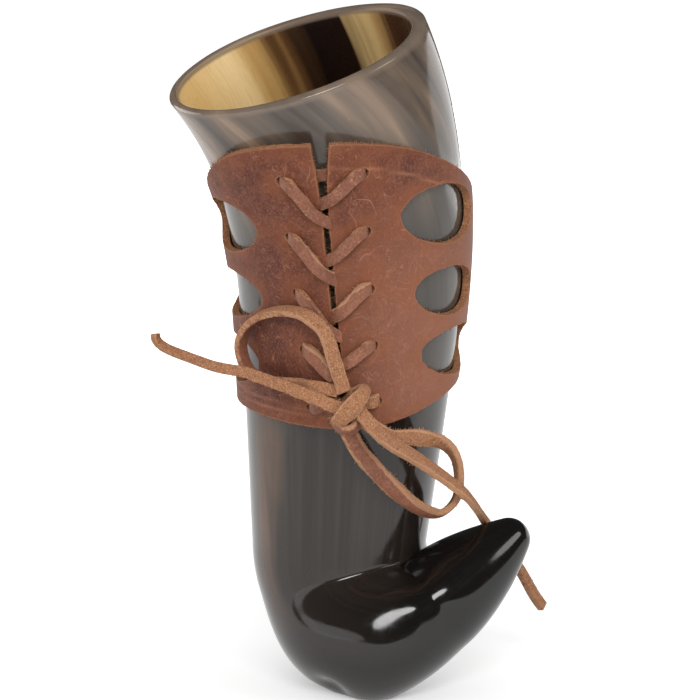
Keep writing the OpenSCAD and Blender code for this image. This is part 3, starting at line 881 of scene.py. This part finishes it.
# %% The sleeve's pattern
LEATHER_T, FIT_GAP = 2.2, 0.3
FLAP_LIFT, FLAP_SPREAD = 3.2, math.radians(30)
SLEEVE_TOP, SLEEVE_BACK, LEFT_DROP = 176, 135, 5
SLEEVE_BOTTOM, HIP_RISE = 90, 6.5
SLIT_MID, SLIT_END = 1.2, 3.6
SEAM_TOP, SEAM_BOTTOM = -14, -7
PATTERN_R = 35
CELLS_ROUND, CELLS_HIGH = ((248, 98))
WINDOW_SLANT = math.radians(8)
# Each window: degrees round from the seam, height above the table, length and height
WINDOWS = [
    (-62, 146, 35.4, 16.2), (-72, 124, 43.5, 14.6), (-78, 103.5, 39.5, 14.6),
    (58, 151, 33, 17.2), (62, 127.5, 30.5, 14.8), (74, 107.5, 41.5, 15.4),
]
HOLE_TOP, LACE_PITCH, LACE_SKEW, HOLE_ROWS = 166, 17.2, 2, 5
HOLE_WIDE, HOLE_HIGH, HOLE_OUT = 3.8, 3.4, 9
OUTLINE_ROUGH, LEAST_REACH = 0.02, 1e-6


def sheet_top(tau):
    drop = LEFT_DROP * max(0.0, -math.sin(tau)) ** 4
    return mix(SLEEVE_BACK, SLEEVE_TOP, (1 + math.cos(tau)) / 2) - drop


def sheet_bottom(tau):
    return SLEEVE_BOTTOM + HIP_RISE * max(0.0, math.sin(tau)) ** 2


def seam(z):
    share = clip((z - SLEEVE_BOTTOM) / (SLEEVE_TOP - SLEEVE_BOTTOM))
    return math.asin((mix(SEAM_BOTTOM, SEAM_TOP, share) - body_mid(z).x) / body_size(z)[0])


def slit_tau(v):
    return mix(SLIT_MID, SLIT_END, (2 * v - 1) ** 4) / body_size(SLEEVE_BOTTOM)[0] / 2


def sheet_pt(tau, z, off):
    """A point of the sheet, tau round from the seam and off out from its inner face."""
    beside = tau - 2 * math.pi if tau > math.pi else tau
    turn = seam(z) + tau
    lift = FIT_GAP + FLAP_LIFT * bell(beside, 0, FLAP_SPREAD)
    return body_pt(section_at(z, turn), turn, lift + off)


HOLE_TAU = HOLE_OUT / body_size(SLEEVE_TOP - LACE_PITCH)[0]


def hole_z(row, side):
    return HOLE_TOP - row * LACE_PITCH + side * LACE_SKEW / 2


class Opening:
    """A rounded opening in the pattern, with its middle, half sizes and slant."""

    def __init__(self, tau, z, half_long, half_high, slant, power):
        self.mid = Vector((tau * PATTERN_R, z))
        self.half, self.slant, self.power = (half_long, half_high), slant, power

    def local(self, place):
        return Matrix.Rotation(-self.slant, 2) @ (Vector(place[:2]) - self.mid)

    def reach(self, place):
        """Below 1 inside the opening, 1 on its outline."""
        q = self.local(place)
        return sum(abs(c / h) ** self.power for c, h in zip(q, self.half)) ** (1 / self.power)

    def outline(self, place):
        rough = 1 + OUTLINE_ROUGH * noise.noise(Vector((place[0], place[1], 3)) * 0.7)
        spot = self.mid + (Vector(place[:2]) - self.mid) * rough / max(self.reach(place), LEAST_REACH)
        return Vector((*spot, 0))

    def distance(self, place):
        return (Vector(place[:2]) - self.mid).length * (1 - 1 / max(self.reach(place), LEAST_REACH))


def openings():
    found = []
    for tau, z, long, high in WINDOWS:
        slant = -math.copysign(WINDOW_SLANT, tau)
        found.append(Opening(math.radians(tau) % (2 * math.pi), z, long / 2, high / 2, slant, 2.0))
    for side in (-1, 1):
        for row in range(HOLE_ROWS):
            middle = (side * HOLE_TAU) % (2 * math.pi)
            found.append(Opening(middle, hole_z(row, side), HOLE_WIDE / 2, HOLE_HIGH / 2, 0, 2))
    return found


# %% [markdown]
# The flat sheet now becomes leather: the openings are cut, the outline is made to waver like a
# knife cut, and the sheet is wrapped. A Solidify modifier gives it its thickness and a Bevel
# modifier breaks the edges. Both are made real before the fibres are pulled out of the edge,
# because the fibres need its faces.

# %% Sleeve
WRINKLE, WRINKLE_SIZE = 0.35, 16
EDGE_ROUGH = 0.18
PRESSED_LINE, PRESSED_WIDE = 6.5, 0.35
LOW_LINES, LOW_SHARE = (5.5, 3.2), 0.8
GRAIN_SIDE, FLESH_SIDE, CUT_EDGE = 0, 1, 2
EDGE_BEVEL, BEVEL_ANGLE = 0.3, math.radians(50)
LONG_EDGE, EDGE_CUTS = 1.1, 3
EDGE_HAIRS, EDGE_SEED = (0.5, 0.72), 5
FLESH_BASE = (0.16, 0.068, 0.035, 1)
FLESH_LIGHT = (0.36, 0.17, 0.085, 1)
FLESH_DARK = (0.05, 0.02, 0.01, 1)


def pattern_place(s, v):
    """A place in the flat pattern; s runs round and v runs up, both from 0 to 1."""
    slit = slit_tau(v)
    tau = mix(slit, 2 * math.pi - slit, s)
    return Vector((tau * PATTERN_R, mix(sheet_bottom(tau), sheet_top(tau), v), 0))


def cut_opening(bm, opening):
    inside = [f for f in bm.faces if opening.reach(f.calc_center_median()) < 1]
    rim = once(v for f in inside for v in f.verts)
    bmesh.ops.delete(bm, geom=inside, context="FACES")
    rim = [v for v in rim if v.is_valid]
    for vert in rim:
        vert.co = opening.outline(vert.co)
    around = once(e.other_vert(v) for v in rim for e in v.link_edges)
    around = once(around + [e.other_vert(v) for v in around for e in v.link_edges])
    loose = [v for v in around if not v.is_boundary]
    for _ in range(3):
        bmesh.ops.smooth_vert(bm, verts=loose, factor=0.5, use_axis_x=True, use_axis_y=True)


def rough_edge(bm):
    """A knife never cuts quite straight, so the outline wavers a little."""
    for vert in bm.verts:
        if vert.is_boundary:
            shake = noise.noise_vector(Vector((vert.co.x, vert.co.y, 0)) * 0.45)
            shake += 0.6 * noise.noise_vector(Vector((vert.co.x, vert.co.y, 9)) * 1.6)
            vert.co += EDGE_ROUGH * Vector((shake.x, shake.y, 0))


def pressed(place, tau):
    """How much of the pressed line is at a place: along the top on the right, the bottom on the left."""
    top = bell(sheet_top(tau) - place.y, PRESSED_LINE + 3 * math.sin(tau / 2), PRESSED_WIDE)
    low = sum(bell(place.y - sheet_bottom(tau), high, PRESSED_WIDE) for high in LOW_LINES)
    return top if tau < math.pi else low * LOW_SHARE


def wrap_sheet(bm, holes):
    edge = bm.verts.layers.float.new("edge")
    line = bm.verts.layers.float.new("line")
    for vert in bm.verts:
        place = vert.co.copy()
        tau = place.x / PATTERN_R
        v = clip((place.y - sheet_bottom(tau)) / (sheet_top(tau) - sheet_bottom(tau)))
        borders = [place.y - sheet_bottom(tau), sheet_top(tau) - place.y]
        borders += [(tau - slit_tau(v)) * PATTERN_R, (2 * math.pi - slit_tau(v) - tau) * PATTERN_R]
        borders += [hole.distance(place) for hole in holes]
        vert[edge] = max(0.0, min(borders))
        vert[line] = pressed(place, tau)
        wave = noise.noise(Vector((place.x, place.y, 20)) / WRINKLE_SIZE)
        vert.co = sheet_pt(tau, place.y, WRINKLE * max(0.0, wave)) * MM
    set_down(bm)
    front = min(bm.faces, key=lambda f: f.calc_center_median().y)
    if front.normal.y > 0:
        bmesh.ops.reverse_faces(bm, faces=bm.faces)


def fuzzy_rim(sleeve):
    """Makes the thickness real and pulls fibres out of the cut edge."""
    bm = bmesh.new()
    bm.from_object(sleeve, bpy.context.evaluated_depsgraph_get())
    rim = [f for f in bm.faces if f.material_index == CUT_EDGE]
    across = once(e for f in rim for e in f.edges if e.calc_length() > LONG_EDGE * MM)
    bmesh.ops.subdivide_edges(bm, edges=across, cuts=EDGE_CUTS, use_grid_fill=True)
    fuzz(bm, [f for f in bm.faces if f.material_index == CUT_EDGE], *EDGE_HAIRS, EDGE_SEED)
    sleeve.modifiers.clear()
    bm.to_mesh(sleeve.data)
    bm.free()
    sleeve.data.shade_smooth()


def make_sleeve():
    bm = bmesh.new()
    bmesh.ops.create_grid(bm, x_segments=CELLS_ROUND, y_segments=CELLS_HIGH, size=0.5, calc_uvs=True)
    for vert in bm.verts:
        vert.co = pattern_place(vert.co.x + 0.5, vert.co.y + 0.5)
    holes = openings()
    for hole in holes:
        cut_opening(bm, hole)
    rough_edge(bm)
    flat_area = sum(f.calc_area() for f in bm.faces) * MM ** 2
    wrap_sheet(bm, holes)
    edge_suede = suede_material("sleeve_edge", SUEDE_TAN, SUEDE_LIGHT, SUEDE_DARK)
    flesh = suede_material("sleeve_flesh", FLESH_BASE, FLESH_LIGHT, FLESH_DARK)
    sleeve = finish_mesh(bm, "sleeve", [sleeve_grain(), flesh, edge_suede])
    shell = sleeve.modifiers.new("thickness", "SOLIDIFY")
    shell.thickness = LEATHER_T * MM
    shell.offset = 1
    shell.material_offset = FLESH_SIDE - GRAIN_SIDE
    shell.material_offset_rim = CUT_EDGE - GRAIN_SIDE
    soft = sleeve.modifiers.new("edge", "BEVEL")
    soft.width = EDGE_BEVEL * MM
    soft.segments = 2
    soft.limit_method = "ANGLE"
    soft.angle_limit = BEVEL_ANGLE
    fuzzy_rim(sleeve)
    hand_over(sleeve, "leather_sleeve")


make_sleeve()

# %% [markdown]
# The lace is a strip cut from the same leather, 4 mm wide and 2.2 mm thick, so one of its sides
# is smooth and the other is suede. Every strand is a loft of one rounded section along a smooth
# route, and each point of the route also says which way the suede side looks. A Curve object
# would twist as it likes, and here the twist decides what the camera sees.

# %% Lace helpers
LACE_W, LACE_T = 4.0, 2.2
LACE_SIDES, LACE_POWER = 28, 5
LACE_STEP = 0.45
LACE_RIM, LACE_SHAKE = 0.9, 0.12
RIM_HAIRS, NAP_HAIRS = (0.2, 0.55), (0.06, 0.35)
LACE_BASE = (0.235, 0.088, 0.050, 1)
LACE_LIGHT = (0.42, 0.20, 0.12, 1)
LACE_DARK = (0.12, 0.043, 0.027, 1)


def smooth_at(points, i, t):
    """A Catmull-Rom curve through the points."""
    a, b = points[max(i - 1, 0)], points[i]
    c, d = points[i + 1], points[min(i + 2, len(points) - 1)]
    bent = (2 * a - 5 * b + 4 * c - d) * t * t + (3 * b - a - 3 * c + d) * t ** 3
    return b + ((c - a) * t + bent) / 2


def smooth_route(points, values):
    """Points about a step apart along the curve, each with its own value."""
    places, found = [], []
    for i in range(len(points) - 1):
        count = max(2, round((points[i + 1] - points[i]).length / LACE_STEP))
        for k in range(count):
            places.append(smooth_at(points, i, k / count))
            found.append(mix(values[i], values[i + 1], k / count))
    return places + [points[-1]], found + [values[-1]]


def lace_outline(power):
    """A flat rounded section; a high power makes its corners sharp."""
    found = []
    for a in steps(0, 2 * math.pi, LACE_SIDES)[:-1]:
        x, y = math.cos(a), math.sin(a)
        found.append([math.copysign(abs(c) ** (2 / power), c) for c in (x, y)])
    return found


def tangent(places, i):
    return (places[min(i + 1, len(places) - 1)] - places[max(i - 1, 0)]).normalized()


def add_lace(bm, places, looks, widths, flesh, thick=LACE_T, power=LACE_POWER):
    """Lofts a strip along places; looks is where its suede side faces, flesh tells the sides apart."""
    sections = []
    for i, place in enumerate(places):
        along = tangent(places, i)
        y = (looks[i] - looks[i].dot(along) * along).normalized()
        sections.append(ring_matrix(place, y.cross(along), y, widths[i] / 2, thick / 2))
    side, rim = bm.verts.layers.float["flesh"], bm.verts.layers.float["rim"]

    def stamp(vert, index):
        local = sections[index].inverted() @ vert.co
        vert[side] = local.y * flesh[index]
        vert[rim] = abs(local.x)
        shake = noise.noise(places[index] * 0.8 + Vector((local.x * 3, 0, 5)))
        if abs(local.x) > LACE_RIM:
            wide = sections[index].col[0].xyz.normalized()
            vert.co += wide * LACE_SHAKE * MM * shake * math.copysign(1, local.x)

    first, last = loft(bm, lace_outline(power), sections, stamp)
    close_ring(bm, first)
    close_ring(bm, last)


def lace_fuzz(bm, seed):
    """Fibres stand out along both edges of a lace, and fewer on its suede side."""
    side, rim = bm.verts.layers.float["flesh"], bm.verts.layers.float["rim"]
    edges, naps = [], []
    for face in bm.faces:
        if min(v[rim] for v in face.verts) > LACE_RIM:
            edges.append(face)
        elif min(v[side] for v in face.verts) > 0.5:
            naps.append(face)
    fuzz(bm, edges, *RIM_HAIRS, seed, side)
    fuzz(bm, naps, *NAP_HAIRS, seed + 1, side)


def new_lace():
    bm = bmesh.new()
    bm.verts.layers.float.new("flesh")
    bm.verts.layers.float.new("rim")
    return bm


def lace_material():
    material, tree, surface = new_material("suede_lace")
    place = object_place(tree)
    grain = use_group(tree, GRAIN, tones(place, LACE_BASE, LACE_LIGHT, LACE_DARK))
    nap = use_group(tree, SUEDE, tones(place, SUEDE_TAN, SUEDE_LIGHT, SUEDE_DARK))
    ragged = ranged(tree, cloud(tree, place, 900, 2), 0.3, 0.7, -0.25, 0.25)
    suede = ranged(tree, plus(tree, attribute(tree, "flesh"), ragged), -0.80, -0.62)
    rim = ranged(tree, plus(tree, attribute(tree, "rim"), times(tree, ragged, 0.3)), 0.86, 0.95)
    colour = blend(tree, suede, grain["Colour"], nap["Colour"])
    colour = blend(tree, times(tree, rim, 0.45), colour, SUEDE_LIGHT)
    height = plus(tree, times(tree, nap["Height"], suede), times(tree, grain["Height"], 0.15))
    feed(tree, surface, Base_Color=colour, Roughness=ranged(tree, suede, 0, 1, 0.5, 0.95))
    feed(tree, surface, Specular_IOR_Level=0.25, Normal=bumped(tree, height, 0.8, 0.22))
    return material


LACE_FINISH = lace_material()

# %% [markdown]
# The lacing is one half of the lace on each side. It starts under the top of the slit, comes out
# of a hole, runs down over its flap, dives through the slit and comes out of the next hole on
# the other side. The route is measured from the sheet, so it stays on the leather everywhere.

# %% Lacing
LACE_GAP = 0.3
OVER, WITHIN, UNDER = LEATHER_T + LACE_T / 2 + LACE_GAP, LEATHER_T / 2, -LACE_T / 2 - LACE_GAP
TURN_IN, TURN_OUT = math.radians(2.2), math.radians(1.0)
DROP_LEFT, DROP_RIGHT, LAST_DROP = 12.5, 8.5, 0.75
CROSSING_W, TURNED_POINTS, LACING_SEED = 0.92, 4, 11
KNOT_TAU, KNOT_Z = math.radians(3), hole_z(HOLE_ROWS - 1, 0) + 1.3
KNOT_LONG, KNOT_DEEP, KNOT_LEAN = 6, 3, math.radians(50)
KNOT_AT = sheet_pt(KNOT_TAU, KNOT_Z, LEATHER_T + LACE_GAP + KNOT_DEEP + LACE_T / 2)


def strand(row, side, drop):
    """From a hole down over the flap, through the slit and up through the next hole."""
    z, e = hole_z(row, side), hole_z(row + 1, -side)
    s = z - drop
    return [
        sheet_pt(side * (HOLE_TAU - TURN_IN), mix(z, s, 0.06), OVER),
        sheet_pt(side * 0.6 * HOLE_TAU, mix(z, s, 0.34), OVER),
        sheet_pt(side * 0.25 * HOLE_TAU, mix(z, s, 0.74), OVER),
        sheet_pt(-side * 0.03, mix(s, e, 0.05), WITHIN),
        sheet_pt(-side * 0.3 * HOLE_TAU, mix(s, e, 0.25), UNDER),
        sheet_pt(-side * 0.6 * HOLE_TAU, mix(s, e, 0.6), UNDER),
        sheet_pt(-side * (HOLE_TAU - TURN_IN), e, UNDER),
        sheet_pt(-side * (HOLE_TAU + TURN_OUT), e, WITHIN),
    ]


def half_lacing(first):
    """From the middle of the lace down to the knot; first is the side of the top hole."""
    z = hole_z(0, first)
    found = [sheet_pt(first * (HOLE_TAU - TURN_IN), z, UNDER)]
    found += [sheet_pt(first * (HOLE_TAU + TURN_OUT), z, WITHIN)]
    for row in range(HOLE_ROWS - 1):
        side = first if row % 2 == 0 else -first
        drop = DROP_LEFT if side < 0 else DROP_RIGHT
        found += strand(row, side, drop * (LAST_DROP if row == HOLE_ROWS - 2 else 1))
    z = hole_z(HOLE_ROWS - 1, first)
    found += [sheet_pt(first * (HOLE_TAU - TURN_IN), z, OVER)]
    found += [sheet_pt(first * 0.6 * HOLE_TAU, mix(z, KNOT_Z, 0.6), OVER)]
    return found + [sheet_pt(KNOT_TAU + first * math.radians(4), KNOT_Z, OVER + 1.5)]


def outward(place):
    return (place - body_mid(place.z)).normalized()


def make_lacing():
    bm = new_lace()
    left, right = half_lacing(-1), half_lacing(1)
    points = right[::-1] + [sheet_pt(0, hole_z(0, 0), UNDER)] + left
    turned = [1 if i < TURNED_POINTS else 0 for i in range(len(points))]
    places, turned = smooth_route(points, turned)
    looks, flesh = [], []
    for i, place in enumerate(places):
        along = tangent(places, i)
        wide = (UP - UP.dot(along) * along).normalized()
        looks.append(along.cross(wide))
        seen = looks[-1].dot(outward(place))
        flesh.append(-math.copysign(1, seen) if turned[i] < 0.5 else math.copysign(1, seen))
    add_lace(bm, places, looks, [LACE_W * CROSSING_W] * len(places), flesh)
    set_down(bm)
    lace_fuzz(bm, LACING_SEED)
    hand_over(finish_mesh(bm, "lace_crossings", [LACE_FINISH]), "lacing")


make_lacing()

# %% [markdown]
# The bow hangs freely: its two loops and two tails are lofted along routes that are measured from the
# knot. The second vector at each point is the way the suede side looks: it faces the camera on the tails
# and turns inwards round the right loop.

# %% Bow
LEFT_LOOP = [
    ((-2, -1, 4.5), (0.2, -1, 0.1)), ((-4.5, -1.5, 13.5), (0.3, -0.9, 0.2)),
    ((-7, -2, 22), (0.4, -0.8, 0.4)), ((-12.5, -1, 27), (0.2, -0.6, 0.75)),
    ((-20, 6, 26.5), (-0.3, -0.1, 0.9)), ((-27.5, 14, 22), (-0.7, 0.4, 0.5)),
    ((-31.5, 19.5, 15), (-0.7, 0.7, 0.1)), ((-31.5, 20, 9), (-0.7, 0.7, -0.1)),
    ((-28, 15.5, 4.5), (-0.3, 0.5, -0.6)), ((-19, 8, 4.5), (0, -0.6, -0.5)),
    ((-10, 2, 5), (0, -0.9, 0.4)), ((-3.5, 0.5, 4), (0, -0.9, 0.4)),
]
RIGHT_LOOP = [
    ((3, 1.5, -4), (0.3, -1, 0.3)), ((5.5, 2, -6.5), (0.3, -1, 0.3)),
    ((11.5, 5, -11), (0.1, -1, 0.3)), ((19, 10.5, -13), (0, -1, 0.2)),
    ((26.5, 15.5, -16), (-0.4, -0.8, -0.1)), ((31, 18.5, -22), (-0.9, -0.5, -0.2)),
    ((32, 20, -30.5), (-1, -0.2, 0.1)), ((30.5, 19.5, -36), (-0.7, 0.1, 0.7)),
    ((25.5, 18, -39), (-0.2, 0.5, 0.9)), ((18, 13.5, -34.5), (0.3, 0.8, 0.5)),
    ((9.5, 8.5, -25), (0, 1, 0.1)), ((3, 4, -16.5), (-0.5, 0.8, -0.3)),
    ((-0.5, 1, -9.5), (-0.6, 0.8, -0.2)), ((-1, 0, -7), (-0.6, 0.8, -0.2)),
]
LEFT_TAIL = [
    ((-3, -1, -0.5), (0.1, -1, 0.3)), ((-14.5, 0.5, 4), (0, -1, 0.3)),
    ((-24.5, 8, 5.5), (0, -1, 0.3)), ((-30.5, 13.5, 6), (0, -1, 0.3)),
    ((-39, 19, 6), (0, -1, 0.4)), ((-47, 23.5, 7.5), (0, -0.9, 0.5)),
    ((-54, 28, 9), (0.2, -0.8, 0.6)), ((-57, 29.5, 11), (0.6, -0.5, 0.6)),
    ((-57.5, 30, 13), (0.9, -0.3, 0.3)),
]
RIGHT_TAIL = [
    ((2.5, -1.5, -1), (0.5, -0.9, 0.4)), ((8, -2, -7.5), (0.5, -0.8, 0.5)),
    ((14.5, 2.5, -13.5), (0.5, -0.7, 0.6)), ((23.5, 8.5, -21.5), (0.6, -0.4, 0.7)),
    ((32.5, 13, -30), (0.6, -0.3, 0.7)), ((36.5, 20.5, -36.8), (0.7, -0.3, 0.6)),
    ((40.5, 37.5, -47.7), (0.7, -0.3, 0.5)), ((47, 50, -60.5), (0.7, -0.3, 0.5)),
    ((52.5, 53.5, -69.5), (0.7, -0.5, 0.5)), ((57, 56.5, -78.5), (0.6, -0.7, 0.5)),
    ((60, 58.5, -83.5), (0.6, -0.7, 0.5)),
]
LOBE = [
    ((-3, 2.5, -0.5), (0.5, 0.8, 0.3)), ((-4, 0.5, -4.5), (0.5, 0.8, 0.5)),
    ((-2, -1, -7), (0, 0.7, 0.8)), ((1, -0.5, -6.5), (-0.2, 0.7, 0.7)),
    ((2.5, 1.5, -3.5), (-0.6, 0.8, 0.2)), ((2, 2.5, 0.5), (-0.6, 0.8, 0)),
]
KNOT_FROM, KNOT_SWEEP, KNOT_STEPS = math.radians(60), math.radians(410), 64
KNOT_GROW, KNOT_NARROW, KNOT_WIDE = 0.8, 0.8, 1.3
KNOT_THICK, KNOT_POWER, KNOT_SEED = 2.6, 2.3, 21


def bow_strand(bm, route, narrow):
    """Lofts one route from the knot, which narrows towards its far end."""
    points = [KNOT_AT + Vector(p) for p, _ in route]
    looks = [Vector(q).normalized() for _, q in route]
    places, looks = smooth_route(points, looks)
    last = len(places) - 1
    widths = [LACE_W * mix(1, narrow, (i / last) ** 2) for i in range(len(places))]
    add_lace(bm, places, looks, widths, [1] * len(places))
    return places


def make_strand(name, node, route, narrow=1.0):
    bm = new_lace()
    places = bow_strand(bm, route, narrow)
    set_down(bm)
    lace_fuzz(bm, len(route))
    piece = finish_mesh(bm, name, [LACE_FINISH])
    hand_over(piece, node)


def make_knot():
    """A turn of lace round the strands, and the lobe that it pulls out below."""
    bm = new_lace()
    lean = Vector((math.cos(KNOT_LEAN), 0, math.sin(KNOT_LEAN)))
    back = Vector((0, 1, 0))
    places, looks, widths = [], [], []
    for q in steps(KNOT_FROM, KNOT_FROM + KNOT_SWEEP, KNOT_STEPS):
        grow = mix(0, KNOT_GROW, (q - KNOT_FROM) / KNOT_SWEEP)
        wide, deep = (KNOT_LONG + grow) * math.cos(q), (KNOT_DEEP + grow) * math.sin(q)
        places.append(KNOT_AT + wide * lean + deep * back)
        looks.append(math.cos(q) / KNOT_LONG * lean + math.sin(q) / KNOT_DEEP * back)
        widths.append(LACE_W * mix(KNOT_NARROW, KNOT_WIDE, math.sin(q) ** 2))
    add_lace(bm, places, looks, widths, [1] * len(places), KNOT_THICK, KNOT_POWER)
    bow_strand(bm, LOBE, 1.0)
    set_down(bm)
    lace_fuzz(bm, KNOT_SEED)
    hand_over(finish_mesh(bm, "knot", [LACE_FINISH]), "bow_knot")


make_knot()
make_strand("loop_left", "left_loop", LEFT_LOOP)
make_strand("loop_right", "right_loop", RIGHT_LOOP)
make_strand("tail_left", "left_tail", LEFT_TAIL, 0.65)
make_strand("tail_right", "right_tail", RIGHT_TAIL, 0.9)
